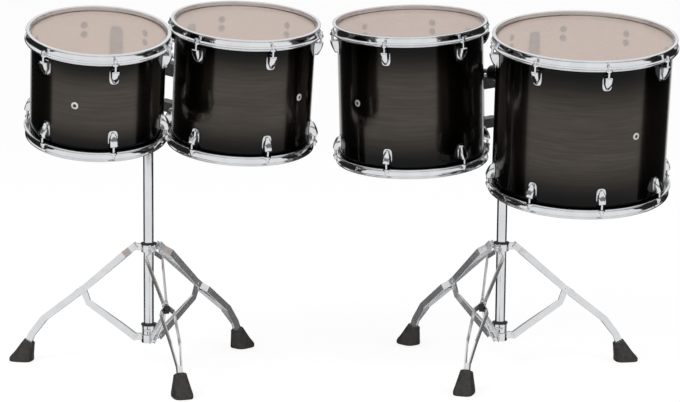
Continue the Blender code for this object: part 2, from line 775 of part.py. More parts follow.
def make_brace(stand, number, pivot):
    """Two strips that meet at the leg's pin and straddle the lower hub's ear."""
    name = f"{stand['name']}_brace_{number}"
    radius, height = mid_joint()
    shift = Matrix.Translation((0, -radius, -height))
    face = EAR_HALF + GAP + BRACE_STRIP

    def first(work):
        strip_in(work, brace_path(1), BRACE_STRIP)

    def second(work):
        strip_in(work, brace_path(-1), BRACE_STRIP)

    def rivets(work):
        for side in (1, -1):
            cylinder_in(work, PIN_RADIUS, (side * (face - 0.0010), PIVOT_OUT, BRACE_HUB_Z),
                        (side * (face + PIN_HEAD), PIVOT_OUT, BRACE_HUB_Z), 8)

    def hole(work):
        cylinder_in(work, PIN_HOLE, (-0.02, radius, height), (0.02, radius, height), 8)

    brace = new_object(name, mesh_from(first, name), CHROME, pivot, shift)
    for shape, operation in ((second, "UNION"), (rivets, "UNION"), (hole, "DIFFERENCE")):
        cutter = new_cutter(f"{name}_{shape.__name__}", mesh_from(shape, "shape"), pivot, shift)
        add_boolean(brace, cutter, operation)
    return brace


def make_foot(stand, number, pivot):
    """A rubber boot, flared to a flat sole, with a socket for the leg's tip."""
    name = f"{stand['name']}_foot_{number}"
    shift = Matrix.Translation((0, -PIVOT_OUT, -LEG_HUB_Z))

    def section(level, floor=None):
        (near, far), half = level["r"], level["half"]
        z_near, z_far = (floor, floor) if floor is not None else level["z"]
        chamfer = half * 0.35
        return [Vector((-half + chamfer, near, z_near)), Vector((half - chamfer, near, z_near)),
                Vector((half, near + chamfer, z_near)), Vector((half, far - chamfer, z_far)),
                Vector((half - chamfer, far, z_far)), Vector((-half + chamfer, far, z_far)),
                Vector((-half, far - chamfer, z_far)), Vector((-half, near + chamfer, z_near))]

    def boot(work):
        loft_in(work, [section(FOOT_HEEL, 0.0), section(FOOT_HEEL), section(FOOT_WAIST),
                       section(FOOT_TOP)])

    def socket(work):
        low, high = Vector((0, *LEG_TIP)), Vector((0, *LEG_ANKLE))
        along = (high - low).normalized()
        reach = STRIP_HEIGHT / 2 + 0.0012
        across = Vector((0, -along.z, along.y)) * reach
        side = Vector((TIP_HALF[0] + 0.0007, 0, 0))
        loft_in(work, [[point - side - across, point + side - across, point + side + across,
                        point - side + across] for point in (low - along * 0.0045,
                                                             high + along * 0.03)])

    foot = new_object(name, mesh_from(boot, name), RUBBER, pivot, shift)
    cutter = new_cutter(f"{name}_socket", mesh_from(socket, "socket"), pivot, shift)
    add_boolean(foot, cutter)
    return foot


def make_tripod(stand, base):
    name = stand["name"]
    make_hub(f"{name}_brace_hub", stand, base, BRACE_HUB_Z, BRACE_HUB_SPAN, False)
    hub_slide = new_empty(f"{name}_leg_hub_slide", base)
    make_hub(f"{name}_leg_hub", stand, hub_slide, LEG_HUB_Z, LEG_HUB_SPAN, True)
    radius, height = mid_joint()
    for number, azimuth in enumerate(leg_azimuths(stand), 1):
        turn = about(azimuth)
        pivot = new_empty(f"{name}_leg_pivot_{number}", hub_slide,
                          turn @ Matrix.Translation((0, PIVOT_OUT, LEG_HUB_Z)))
        knee = new_empty(f"{name}_brace_pivot_{number}", pivot,
                         Matrix.Translation((0, radius - PIVOT_OUT, height - LEG_HUB_Z)))
        make_leg(stand, number, pivot)
        make_foot(stand, number, pivot)
        make_brace(stand, number, knee)


def make_drum(drum, swivel):
    """The drum hangs on its bracket: its own axis lies behind the bore."""
    offset = Matrix.Translation((0, -(shell_radius(drum) + BRACKET_ROD_OUT), 0))
    axis = new_empty(f"{drum['name']}_axis", swivel, offset)
    make_shell(drum, axis)
    for side in (1, -1):
        make_hoop(drum, axis, side)
        make_head(drum, axis, side)
    make_bracket(drum, swivel)


def make_stand(stand, root):
    base = new_empty(f"{stand['name']}_stand", root, Matrix.Translation((*stand["at"], 0)))
    slide = new_empty(f"{stand['name']}_height_slide", base)
    head = new_empty(f"{stand['name']}_head_swivel", slide)
    make_mast(stand, base, slide)
    make_tripod(stand, base)
    balls = []
    mast = Vector((*stand["at"], 0))
    for drum in DRUMS:
        if drum["stand"] != stand["name"]:
            continue
        frame = drum_frame(drum)
        ball = ball_centre(drum, stand, frame)
        corner = frame @ Vector((0, 0, drum["corner"]))
        balls.append((drum, ball - mast, (corner - ball).normalized()))
        pivot = new_empty(f"{drum['name']}_arm_pivot", head, Matrix.Translation(ball - mast))
        bpy.context.view_layer.update()
        make_arm(drum, pivot, root.matrix_world @ frame, root.matrix_world @ ball)
        swivel = new_empty(f"{drum['name']}_swivel", pivot)
        swivel.matrix_local = Matrix.Translation(ball).inverted() @ frame
        make_drum(drum, swivel)
    make_holder(stand, head, balls)


def centre_on_floor(root):
    """Moves the set so that the middle of its box stands over the origin."""
    bpy.context.view_layer.update()
    depsgraph = bpy.context.evaluated_depsgraph_get()
    corners = []
    for item in PARTS.objects:
        if item.type == "MESH":
            solid = item.evaluated_get(depsgraph)
            corners += [solid.matrix_world @ vertex.co for vertex in solid.data.vertices]
    middle = [(min(p[i] for p in corners) + max(p[i] for p in corners)) / 2 for i in (0, 1)]
    root.location = (-middle[0], -middle[1], 0)


ROOT = new_empty("set")
for one_stand in STANDS:
    make_stand(one_stand, ROOT)
centre_on_floor(ROOT)
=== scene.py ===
"""Looks of a set of concert toms on two double stands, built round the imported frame."""

import json
import math

import bmesh
import bpy
from mathutils import Matrix, Vector

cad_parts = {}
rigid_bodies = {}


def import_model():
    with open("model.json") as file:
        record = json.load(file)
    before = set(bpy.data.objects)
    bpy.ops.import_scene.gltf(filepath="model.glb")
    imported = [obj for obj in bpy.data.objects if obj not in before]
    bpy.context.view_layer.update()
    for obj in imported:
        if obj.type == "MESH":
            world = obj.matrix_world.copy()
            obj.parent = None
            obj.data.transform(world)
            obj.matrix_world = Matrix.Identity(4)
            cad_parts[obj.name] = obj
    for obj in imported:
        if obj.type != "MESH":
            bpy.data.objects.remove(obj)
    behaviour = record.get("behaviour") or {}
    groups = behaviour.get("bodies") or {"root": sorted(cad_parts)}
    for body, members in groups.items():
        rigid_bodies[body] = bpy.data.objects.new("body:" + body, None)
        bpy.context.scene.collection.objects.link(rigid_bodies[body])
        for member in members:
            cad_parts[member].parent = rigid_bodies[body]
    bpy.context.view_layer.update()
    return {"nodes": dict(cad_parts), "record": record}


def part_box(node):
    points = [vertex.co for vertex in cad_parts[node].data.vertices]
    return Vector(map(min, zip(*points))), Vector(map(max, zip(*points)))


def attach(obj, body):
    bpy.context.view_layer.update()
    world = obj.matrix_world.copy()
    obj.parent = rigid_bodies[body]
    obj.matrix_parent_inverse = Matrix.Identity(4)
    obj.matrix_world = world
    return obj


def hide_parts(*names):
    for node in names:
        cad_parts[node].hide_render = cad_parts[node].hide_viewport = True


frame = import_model()

bl_info = {
    "name": "Concert Toms",
    "version": (1, 0, 0),
    "blender": (4, 5, 0),
    "location": "View3D > Sidebar > Toms",
    "description": "Builds the visible pieces of a set of concert toms on two stands",
    "category": "Object",
}

INCH = 0.0254

# Drums: size, depth, number of lugs, and azimuths clockwise from the back
DRUMS = (
    dict(name="drum_12", inches=12, depth=0.229, lugs=6, lug_at=-20.2, vent_at=192.2,
         bracket_at=9.8),
    dict(name="drum_13", inches=13, depth=0.276, lugs=6, lug_at=-22.9, vent_at=125.8,
         bracket_at=-57.0),
    dict(name="drum_14", inches=14, depth=0.321, lugs=6, lug_at=20.1, vent_at=227.5,
         bracket_at=60.0),
    dict(name="drum_16", inches=16, depth=0.349, lugs=8, lug_at=-8.3, vent_at=148.8,
         bracket_at=-30.7),
)
STANDS = ("left", "right")
LEGS = (1, 2, 3)

# Drum parts, in metres
SHELL_INSET = 0.0020
SHELL_WALL = 0.0060
RIM_RISE = 0.0110
HOOP_HEIGHT = 0.0235
FILM = 0.0005
FILM_GAP = 0.0003
ROD_OUT = 0.0115
LUG_BELOW_HOOP = 0.0120
LUG_HEIGHT = 0.0340
LUG_CORNER = 0.0016
LUG_SLOPE = 0.62
PLATE_BELOW_EDGE = 0.0300
PLATE_HALF_WIDTH = 0.0150

# Stand parts, in metres, with spans as heights above the floor
TUBE_WALL = 0.0011
PIVOT_OUT = 0.0365
HUB_RADIUS = 0.0185
HUB_BORE = 0.0131
EAR_ROOT = 0.0060
EAR_HALF_HEIGHT = 0.0082
EAR_HALF_WIDTH = 0.0040
NYLON_THICK = 0.0048
NYLON_PROUD = 0.0006
NYLON_GAP = 0.0002
LEG_HUB_SPAN = (0.2885, 0.3065)
LEG_HUB_EARS = 0.3000
BRACE_HUB_SPAN = (0.0640, 0.0840)
BRACE_HUB_EARS = 0.0765
COLLAR_RADIUS = 0.0172
COLLAR_SPAN = (0.0846, 0.1062)
SLIT_SPAN = (0.0862, 0.1046)
SLIT_AT = 186
HOLDER_COLLAR = 0.0205
HOLDER_BORE = 0.0114

# How far the visible holder and upper tube end below the ones that they replace
HOLDER_DROP = 0.0160
TUBE_TOP_DROP = 0.0160

# Points that lie this close in a mesh become one
MERGE_WITHIN = 0.00002

# Cross-section of the hoop: distance out from the head's radius, and depth below the rim
HOOP_SECTION = ((0.0006, 0), (0.0085, 0), (0.0088, 0.0022), (0.0050, 0.0046), (0.0044, 0.0105),
                (0.0050, 0.0162), (0.0080, 0.0190), (0.0115, 0.0206), (0.0115, 0.0235),
                (0.0032, 0.0235), (0.0032, 0.0112), (0.0006, 0.0100))

# Wood: stretch of the grain, size of the figure, and where the burst starts and ends as shares
# of the shell's depth from its middle
GRAIN_STRETCH = (9.0, 9.0, 230.0)
FIGURE_SCALE = 14.0
BURST_FROM = 0.12
BURST_TO = 0.44

# The studio that shiny surfaces see: dark flags on both sides and a dim band above the floor
FLAG_FROM = 0.07
FLAG_TO = -0.86
FLAG_BLUR = 0.05
FLAG_TOP = (0.62, 0.50)
BAND_LOW = (0.02, 0.05)
BAND_HIGH = (0.34, 0.26)
BAND_DARKNESS = 0.80
STUDIO_WHITE = 1.02
SOFT_LIGHT = 0.72

# The floor: what the lamps find, what it shows by itself and what it throws back
FLOOR_MATTE = 0.30
FLOOR_GLOW = 0.80
FLOOR_BOUNCE = 0.75
FLOOR_HALF = 40.0
FLOOR_DROP = 0.0005

LAMP_TARGET = (0, 0, 0.6)
LAMPS = (
    dict(name="key", place=(-2.4, -3.2, 3.4), size=(2.4, 1.8), power=70),
    dict(name="fill", place=(2.8, -2.6, 2.4), size=(2.0, 2.0), power=30),
)

# The camera, fitted to the rims and the feet; angles in radians, lens in millimetres
CAMERA_PLACE = (0.0194, -5.1902, 1.1985)
CAMERA_PITCH = 0.1463
CAMERA_ROLL = 0.0091
CAMERA_LENS = 116.73


# Sizes and colours that can be changed in the sidebar

class ConcertTomFinish(bpy.types.PropertyGroup):
    """Colours of the set."""
    chrome: bpy.props.FloatVectorProperty(
        name="Chrome", description="Colour of hoops, lugs, rods and stands", subtype="COLOR",
        size=3, min=0, max=1, default=(0.88, 0.89, 0.91))
    wood: bpy.props.FloatVectorProperty(
        name="Wood", description="Colour of the stained wood in the middle of the shell",
        subtype="COLOR", size=3, min=0, max=1, default=(0.088, 0.075, 0.063))
    wood_dark: bpy.props.FloatVectorProperty(
        name="Dark grain", description="Colour of the grain lines", subtype="COLOR",
        size=3, min=0, max=1, default=(0.066, 0.056, 0.047))
    wood_edge: bpy.props.FloatVectorProperty(
        name="Burst edge", description="Colour at the shell's upper and lower edges",
        subtype="COLOR", size=3, min=0, max=1, default=(0.004, 0.004, 0.004))
    inside: bpy.props.FloatVectorProperty(
        name="Inner wall", description="Colour of the bare wood inside the shell",
        subtype="COLOR", size=3, min=0, max=1, default=(0.60, 0.50, 0.44))
    film: bpy.props.FloatVectorProperty(
        name="Head film", description="Colour of the clear film", subtype="COLOR",
        size=3, min=0, max=1, default=(0.585, 0.495, 0.45))


class ConcertTomSizes(bpy.types.PropertyGroup):
    """Sizes of the fine pieces."""
    ring_segments: bpy.props.IntProperty(
        name="Ring segments", description="Sides of the hoops and shells", default=144, min=24)
    lug_depth: bpy.props.FloatProperty(
        name="Lug depth", description="How far a lug stands out of the shell",
        default=0.0205, unit="LENGTH")
    lug_width: bpy.props.FloatProperty(
        name="Lug width", description="Width of a lug", default=0.0190, unit="LENGTH")
    rod_head: bpy.props.FloatProperty(
        name="Rod head", description="Width of a tension rod's square head",
        default=0.0062, unit="LENGTH")


def finish():
    return bpy.context.scene.concert_tom_finish


def sizes():
    return bpy.context.scene.concert_tom_sizes


# Materials

def new_group(name, inputs, outputs):
    group = bpy.data.node_groups.new(name, "ShaderNodeTree")
    for label, kind in inputs:
        group.interface.new_socket(name=label, in_out="INPUT", socket_type=kind)
    for label, kind in outputs:
        group.interface.new_socket(name=label, in_out="OUTPUT", socket_type=kind)
    return group, group.nodes.new("NodeGroupInput"), group.nodes.new("NodeGroupOutput")


def math_node(tree, operation, first, second=None):
    node = tree.nodes.new("ShaderNodeMath")
    node.operation = operation
    for socket, value in zip(node.inputs, (first, second)):
        if isinstance(value, (int, float)):
            socket.default_value = value
        elif value is not None:
            tree.links.new(value, socket)
    return node.outputs[0]


def smooth_range(tree, value, low, high, to_low=0.0, to_high=1.0):
    node = tree.nodes.new("ShaderNodeMapRange")
    node.interpolation_type = "SMOOTHSTEP"
    tree.links.new(value, node.inputs["Value"])
    node.inputs["From Min"].default_value = low
    node.inputs["From Max"].default_value = high
    node.inputs["To Min"].default_value = to_low
    node.inputs["To Max"].default_value = to_high
    return node.outputs["Result"]


def wear_group():
    """Fine uneven polish: a mask and a height from two scales of noise."""
    name = "fine_polish"
    if name in bpy.data.node_groups:
        return bpy.data.node_groups[name]
    group, source, sink = new_group(name, [("Scale", "NodeSocketFloat")],
                                    [("Mask", "NodeSocketFloat"), ("Height", "NodeSocketFloat")])
    place = group.nodes.new("ShaderNodeTexCoord")
    broad = group.nodes.new("ShaderNodeTexNoise")
    fine = group.nodes.new("ShaderNodeTexNoise")
    fine.inputs["Detail"].default_value = 5
    for noise in (broad, fine):
        group.links.new(place.outputs["Object"], noise.inputs["Vector"])
    group.links.new(source.outputs["Scale"], broad.inputs["Scale"])
    group.links.new(math_node(group, "MULTIPLY", source.outputs["Scale"], 9.0),
                    fine.inputs["Scale"])
    group.links.new(smooth_range(group, broad.outputs["Fac"], 0.35, 0.65), sink.inputs["Mask"])
    group.links.new(fine.outputs["Fac"], sink.inputs["Height"])
    return group


def figured_wood_group():
    """Wavy grain round the shell, darkened towards both edges."""
    group, source, sink = new_group(
        "figured_wood",
        [("Wood", "NodeSocketColor"), ("Grain", "NodeSocketColor"), ("Edge", "NodeSocketColor")],
        [("Color", "NodeSocketColor"), ("Height", "NodeSocketFloat")])
    place = group.nodes.new("ShaderNodeTexCoord")
    stretch = group.nodes.new("ShaderNodeMapping")
    stretch.inputs["Scale"].default_value = GRAIN_STRETCH
    group.links.new(place.outputs["Object"], stretch.inputs["Vector"])
    grain = group.nodes.new("ShaderNodeTexNoise")
    grain.inputs["Scale"].default_value = 1.0
    grain.inputs["Detail"].default_value = 6
    grain.inputs["Distortion"].default_value = 0.9
    group.links.new(stretch.outputs["Vector"], grain.inputs["Vector"])
    figure = group.nodes.new("ShaderNodeTexNoise")
    figure.inputs["Scale"].default_value = FIGURE_SCALE
    figure.inputs["Detail"].default_value = 3
    group.links.new(place.outputs["Object"], figure.inputs["Vector"])
    lines = smooth_range(group, grain.outputs["Fac"], 0.38, 0.62)
    patches = smooth_range(group, figure.outputs["Fac"], 0.30, 0.70, 0.55, 1.0)
    blend = group.nodes.new("ShaderNodeMix")
    blend.data_type = "RGBA"
    group.links.new(math_node(group, "MULTIPLY", lines, patches), blend.inputs["Factor"])
    group.links.new(source.outputs["Grain"], blend.inputs["A"])
    group.links.new(source.outputs["Wood"], blend.inputs["B"])
    split = group.nodes.new("ShaderNodeSeparateXYZ")
    group.links.new(place.outputs["Generated"], split.inputs["Vector"])
    off_middle = math_node(group, "SUBTRACT", split.outputs["Z"], 0.5)
    burst = smooth_range(group, math_node(group, "ABSOLUTE", off_middle), BURST_FROM, BURST_TO)
    edge = group.nodes.new("ShaderNodeMix")
    edge.data_type = "RGBA"
    group.links.new(burst, edge.inputs["Factor"])
    group.links.new(blend.outputs["Result"], edge.inputs["A"])
    group.links.new(source.outputs["Edge"], edge.inputs["B"])
    group.links.new(edge.outputs["Result"], sink.inputs["Color"])
    group.links.new(lines, sink.inputs["Height"])
    return group


def principled(name, colour, roughness, metallic=0.0):
    material = bpy.data.materials.new(name)
    material.use_nodes = True
    shader = material.node_tree.nodes["Principled BSDF"]
    shader.inputs["Base Color"].default_value = (*colour, 1)
    shader.inputs["Roughness"].default_value = roughness
    shader.inputs["Metallic"].default_value = metallic
    return material, shader


def add_polish(material, shader, scale, rough, bump, tones=None):
    """Uneven roughness, a faint bump and, where given, a slight change between two tones."""
    tree = material.node_tree
    polish = tree.nodes.new("ShaderNodeGroup")
    polish.node_tree = wear_group()
    polish.inputs["Scale"].default_value = scale
    tree.links.new(smooth_range(tree, polish.outputs["Mask"], 0, 1, *rough),
                   shader.inputs["Roughness"])
    height = tree.nodes.new("ShaderNodeBump")
    height.inputs["Strength"].default_value = bump
    height.inputs["Distance"].default_value = 0.0004
    tree.links.new(polish.outputs["Height"], height.inputs["Height"])
    tree.links.new(height.outputs["Normal"], shader.inputs["Normal"])
    if tones:
        dark, light = tones
        mix = tree.nodes.new("ShaderNodeMix")
        mix.data_type = "RGBA"
        mix.inputs["A"].default_value = (*dark, 1)
        mix.inputs["B"].default_value = (*light, 1)
        tree.links.new(polish.outputs["Mask"], mix.inputs["Factor"])
        tree.links.new(mix.outputs["Result"], shader.inputs["Base Color"])
    return material


def polished(name, colour, roughness, metallic=0.0, **polish):
    material, shader = principled(name, colour, roughness, metallic)
    return add_polish(material, shader, **polish)


MATERIALS = {}


def build_materials():
    chrome = tuple(finish().chrome)
    dim = tuple(value * 0.94 for value in chrome)
    MATERIALS["chrome"] = polished("chrome_plate", chrome, 0.07, 1.0, scale=24,
                                   rough=(0.045, 0.10), bump=0.01, tones=(dim, chrome))
    MATERIALS["strip"] = polished("chrome_strip", chrome, 0.14, 0.75, scale=30,
                                  rough=(0.10, 0.18), bump=0.02, tones=(dim, chrome))
    MATERIALS["steel"] = polished("screw_steel", (0.34, 0.36, 0.40), 0.35, 0.6, scale=60,
                                  rough=(0.30, 0.42), bump=0.03)
    MATERIALS["black"] = polished(
        "black_casting", (0.012, 0.012, 0.013), 0.3, scale=80, rough=(0.24, 0.40), bump=0.08,
        tones=((0.010, 0.010, 0.011), (0.020, 0.020, 0.022)))
    # Black nylon for rings, gaskets and spacers; the same black also paints the shade in the vent
    # holes and the collar slits
    MATERIALS["nylon"] = polished(
        "black_nylon_and_painted_shade", (0.014, 0.014, 0.015), 0.42, scale=90, rough=(0.38, 0.50), bump=0.05,
        tones=((0.010, 0.010, 0.010), (0.022, 0.022, 0.023)))
    MATERIALS["rubber"] = polished(
        "foot_rubber", (0.040, 0.037, 0.034), 0.62, scale=120, rough=(0.52, 0.72), bump=0.18,
        tones=((0.026, 0.024, 0.022), (0.052, 0.048, 0.044)))
    MATERIALS["grommet"] = polished(
        "vent_grommet", (0.72, 0.72, 0.70), 0.35, scale=90, rough=(0.30, 0.42), bump=0.03,
        tones=((0.62, 0.62, 0.60), (0.76, 0.76, 0.74)))
    MATERIALS["lacquer"] = lacquer()
    MATERIALS["inside"] = inner_wood()
    MATERIALS["film"] = head_film()


def lacquer():
    """Gloss transparent black over figured wood."""
    material, shader = principled("burst_lacquer", (0.05, 0.045, 0.04), 0.18, 0.97)
    shader.inputs["Specular IOR Level"].default_value = 0.2
    shader.inputs["Coat Weight"].default_value = 0.25
    shader.inputs["Coat Roughness"].default_value = 0.02
    tree = material.node_tree
    wood = tree.nodes.new("ShaderNodeGroup")
    wood.node_tree = figured_wood_group()
    wood.inputs["Wood"].default_value = (*finish().wood, 1)
    wood.inputs["Grain"].default_value = (*finish().wood_dark, 1)
    wood.inputs["Edge"].default_value = (*finish().wood_edge, 1)
    tree.links.new(wood.outputs["Color"], shader.inputs["Base Color"])
    return material


def inner_wood():
    """Bare wood inside the shell, with a painted glow: it emits its own colour to stand in for the
    light that the film lets through.
    """
    colour = tuple(finish().inside)
    material, shader = principled("inner_ply_painted_glow", colour, 0.55)
    dim = tuple(value * 0.93 for value in colour)
    add_polish(material, shader, scale=18, rough=(0.48, 0.62), bump=0.05, tones=(dim, colour))
    # Painted glow: emission in the wood's own colour stands in for light coming in through the film
    shader.inputs["Emission Color"].default_value = (*colour, 1)
    shader.inputs["Emission Strength"].default_value = 0.42
    return material


def head_film():
    """Clear film, slightly cloudy, that lets about a third of the light through."""
    material, shader = principled("head_film", tuple(finish().film), 0.22)
    tree = material.node_tree
    polish = tree.nodes.new("ShaderNodeGroup")
    polish.node_tree = wear_group()
    polish.inputs["Scale"].default_value = 10
    tree.links.new(smooth_range(tree, polish.outputs["Mask"], 0, 1, 0.60, 0.66),
                   shader.inputs["Alpha"])
    tree.links.new(smooth_range(tree, polish.outputs["Mask"], 0, 1, 0.18, 0.28),
                   shader.inputs["Roughness"])
    return material


# Shapes

def about(angle_deg):
    """Rotation about Z that carries +Y to an azimuth clockwise from +Y."""
    return Matrix.Rotation(-math.radians(angle_deg), 4, "Z")


def middle_of(node):
    low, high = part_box(node)
    return (Vector(low) + Vector(high)) / 2


def drum_frame(drum):
    """The drum's own frame: origin in its middle, +Z up its axis, +Y towards its bracket."""
    top = middle_of(f"{drum['name']}_batter_head")
    bottom = middle_of(f"{drum['name']}_resonant_head")
    up = (top - bottom).normalized()
    angle = math.radians(drum["bracket_at"])
    out = Vector((math.sin(angle), math.cos(angle), 0))
    out = (out - out.dot(up) * up).normalized()
    turn = Matrix((out.cross(up), out, up)).transposed().to_4x4()
    return Matrix.Translation((top + bottom) / 2) @ turn


def lug_turns(drum):
    return [about(drum["lug_at"] - drum["bracket_at"] + i * 360 / drum["lugs"])
            for i in range(drum["lugs"])]


def flip(side):
    return Matrix.Diagonal((1, 1, side, 1))


def head_radius(drum):
    return drum["inches"] * INCH / 2


def rounded(points, radius, steps=3):
    """A closed outline with its corners rounded."""
    result = []
    for i, point in enumerate(points):
        point = Vector(point)
        before, after = Vector(points[i - 1]), Vector(points[(i + 1) % len(points)])
        reach_in = min(radius, (before - point).length * 0.45)
        reach_out = min(radius, (after - point).length * 0.45)
        start = point + (before - point).normalized() * reach_in
        end = point + (after - point).normalized() * reach_out
        for k in range(steps + 1):
            t = k / steps
            result.append(start * (1 - t) ** 2 + point * 2 * t * (1 - t) + end * t ** 2)
    return result


def turn_in(work, outline, segments, matrix=None, closed=True):
    """Turns (radius, z) points about Z."""
    rings = []
    for i in range(segments):
        angle = 2 * math.pi * i / segments
        ring = [Vector((r * math.cos(angle), r * math.sin(angle), z)) for r, z in outline]
        rings.append([work.verts.new(matrix @ p if matrix else p) for p in ring])
    count = len(outline)
    for i, ring in enumerate(rings):
        following = rings[(i + 1) % segments]
        for k in range(count if closed else count - 1):
            j = (k + 1) % count
            work.faces.new((ring[k], following[k], following[j], ring[j]))


def loft_in(work, sections, caps=True):
    rings = [[work.verts.new(point) for point in section] for section in sections]
    for near, far in zip(rings, rings[1:]):
        for i in range(len(near)):
            j = (i + 1) % len(near)
            work.faces.new((near[i], near[j], far[j], far[i]))
    if caps:
        work.faces.new(rings[0][::-1])
        work.faces.new(rings[-1])


def super_outline(half_x, half_y, power, count=24):
    """A rounded rectangle about the origin."""
    points = []
    for i in range(count):
        angle = 2 * math.pi * i / count
        c, s = math.cos(angle), math.sin(angle)
        points.append((half_x * math.copysign(abs(c) ** power, c),
                       half_y * math.copysign(abs(s) ** power, s)))
    return points


def mesh_of(name, build, sharp_deg=38):
    work = bmesh.new()
    build(work)
    bmesh.ops.remove_doubles(work, verts=work.verts[:], dist=MERGE_WITHIN)
    bmesh.ops.recalc_face_normals(work, faces=work.faces[:])
    mesh = bpy.data.meshes.new(name)
    work.to_mesh(mesh)
    work.free()
    mesh.shade_smooth()
    mesh.set_sharp_from_angle(angle=math.radians(sharp_deg))
    return mesh


def add_piece(name, mesh, finish_name, body, matrix, replaces=()):
    piece = bpy.data.objects.new(name, mesh)
    if not mesh.materials:
        mesh.materials.append(MATERIALS[finish_name])
    bpy.context.scene.collection.objects.link(piece)
    piece.matrix_world = matrix
    bpy.context.view_layer.update()
    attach(piece, body)
    if replaces:
        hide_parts(*replaces)
    return piece


def dress(node, finish_name, bevel=0.0006):
    """Gives a CAD node its material and softened edges."""
    item = frame["nodes"][node]
    item.data.materials.clear()
    item.data.materials.append(MATERIALS[finish_name])
    item.data.shade_smooth()
    item.data.set_sharp_from_angle(angle=math.radians(35))
    modifier = item.modifiers.new("soft_edges", "BEVEL")
    modifier.width = bevel
    modifier.segments = 2
    modifier.limit_method = "ANGLE"
    modifier.angle_limit = math.radians(40)
    modifier.use_clamp_overlap = True
    modifier.harden_normals = True


def build_shell(drum):
    outer = head_radius(drum) - SHELL_INSET
    inner = outer - SHELL_WALL
    half = drum["depth"] / 2
    bevel = SHELL_WALL / 3
    outline = [(outer, half - bevel), (outer, -half + bevel), (outer - bevel, -half),
               (inner, -half), (inner, half), (outer - bevel, half)]

    def build(work):
        turn_in(work, outline, sizes().ring_segments)

    mesh = mesh_of(f"{drum['name']}_wood_shell", build)
    mesh.materials.append(MATERIALS["lacquer"])
    mesh.materials.append(MATERIALS["inside"])
    for face in mesh.polygons:
        if math.hypot(face.center.x, face.center.y) < (outer + inner) / 2:
            face.material_index = 1
    add_piece(f"{drum['name']}_wood_shell", mesh, "lacquer", f"{drum['name']}_body",
              drum_frame(drum), [f"{drum['name']}_shell"])


def lug_outline():
    """A shield: flat at the rod's end, drawn to a blunt point at the other."""
    half = sizes().lug_width / 2
    right = [(half * 0.86, 0), (half, -0.05), (half, -0.50), (half * 0.86, -0.66),
             (half * 0.56, -0.84), (half * 0.24, -0.97)]
    left = [(-x, z) for x, z in reversed(right)]
    return [(x, z * LUG_HEIGHT) for x, z in right + left]


def build_lugs(drum):
    wall = head_radius(drum) - SHELL_INSET
    top = drum["depth"] / 2 + RIM_RISE - HOOP_HEIGHT - LUG_BELOW_HOOP
    outline = rounded(lug_outline(), LUG_CORNER, 2)
    centre = -LUG_HEIGHT * 0.40
    # Each ring: share of the outline's size, share of the lug's rise
    rings = ((1.0, 0.0), (1.0, 0.50), (0.95, 0.80), (0.84, 0.93), (0.62, 0.99), (0.25, 1.0))

    def rise(z):
        """The lug stands out furthest at the rod and slopes towards its point."""
        share = min(max(-z / LUG_HEIGHT, 0), 1)
        return sizes().lug_depth * (1 - LUG_SLOPE * share ** 1.5)

    def bodies(work):
        for turn in lug_turns(drum):
            for side in (1, -1):
                place = turn @ flip(side)
                sections = []
                for share, height in rings:
                    ring = []
                    for x, z in outline:
                        z_in = centre + (z - centre) * share
                        point = (x * share, wall + rise(z_in) * height, top + z_in)
                        ring.append(place @ Vector(point))
                    sections.append(ring)
                loft_in(work, sections)

    def plate(work, grow, low, high):
        """A flat plate under each lug, wider than it by grow, from low to high off the wall."""
        for turn in lug_turns(drum):
            for side in (1, -1):
                place = turn @ flip(side)
                ring = super_outline(sizes().lug_width / 2 + grow, LUG_HEIGHT / 2 + grow, 0.62)
                loft_in(work, [[place @ Vector((x * s, wall + out - abs(x) ** 2 / (2 * wall),
                                                top - LUG_HEIGHT / 2 + z * s))
                                for x, z in ring] for out, s in ((low, 1.0), (high, 0.97))])

    name = drum["name"]
    body = f"{name}_body"
    add_piece(f"{name}_lugs", mesh_of("lugs", bodies, 50), "chrome", body,
              drum_frame(drum))
    plates = mesh_of("plates", lambda work: plate(work, grow=0.0016, low=-0.0004, high=0.0026))
    add_piece(f"{name}_lug_plates", plates, "chrome", body, drum_frame(drum))
    gaskets = mesh_of("gaskets", lambda work: plate(work, grow=0.0026, low=-0.0006, high=0.0010))
    add_piece(f"{name}_lug_gaskets", gaskets, "nylon", body, drum_frame(drum))


def build_lug_screws(drum):
    """Two screws behind each lug, seen on the inner wall through the film."""
    inner = head_radius(drum) - SHELL_INSET - SHELL_WALL
    top = drum["depth"] / 2 + RIM_RISE - HOOP_HEIGHT - LUG_BELOW_HOOP
    screw_radius, screw_rise = 0.0082, 0.0040

    def screws(work):
        for turn in lug_turns(drum):
            for side in (1, -1):
                for share in (0.18, 0.82):
                    spot = Vector((0, inner + 0.0003, (top - LUG_HEIGHT * share) * side))
                    aim = turn @ Matrix.Translation(spot) @ Matrix.Rotation(math.pi / 2, 4, "X")
                    turn_in(work, [(0, screw_rise), (screw_radius * 0.55, screw_rise),
                                   (screw_radius * 0.6, 0.0012), (screw_radius, 0.0009),
                                   (screw_radius, 0)], 16, aim, closed=False)

    add_piece(f"{drum['name']}_lug_screws", mesh_of("screws", screws), "steel",
              f"{drum['name']}_body", drum_frame(drum))


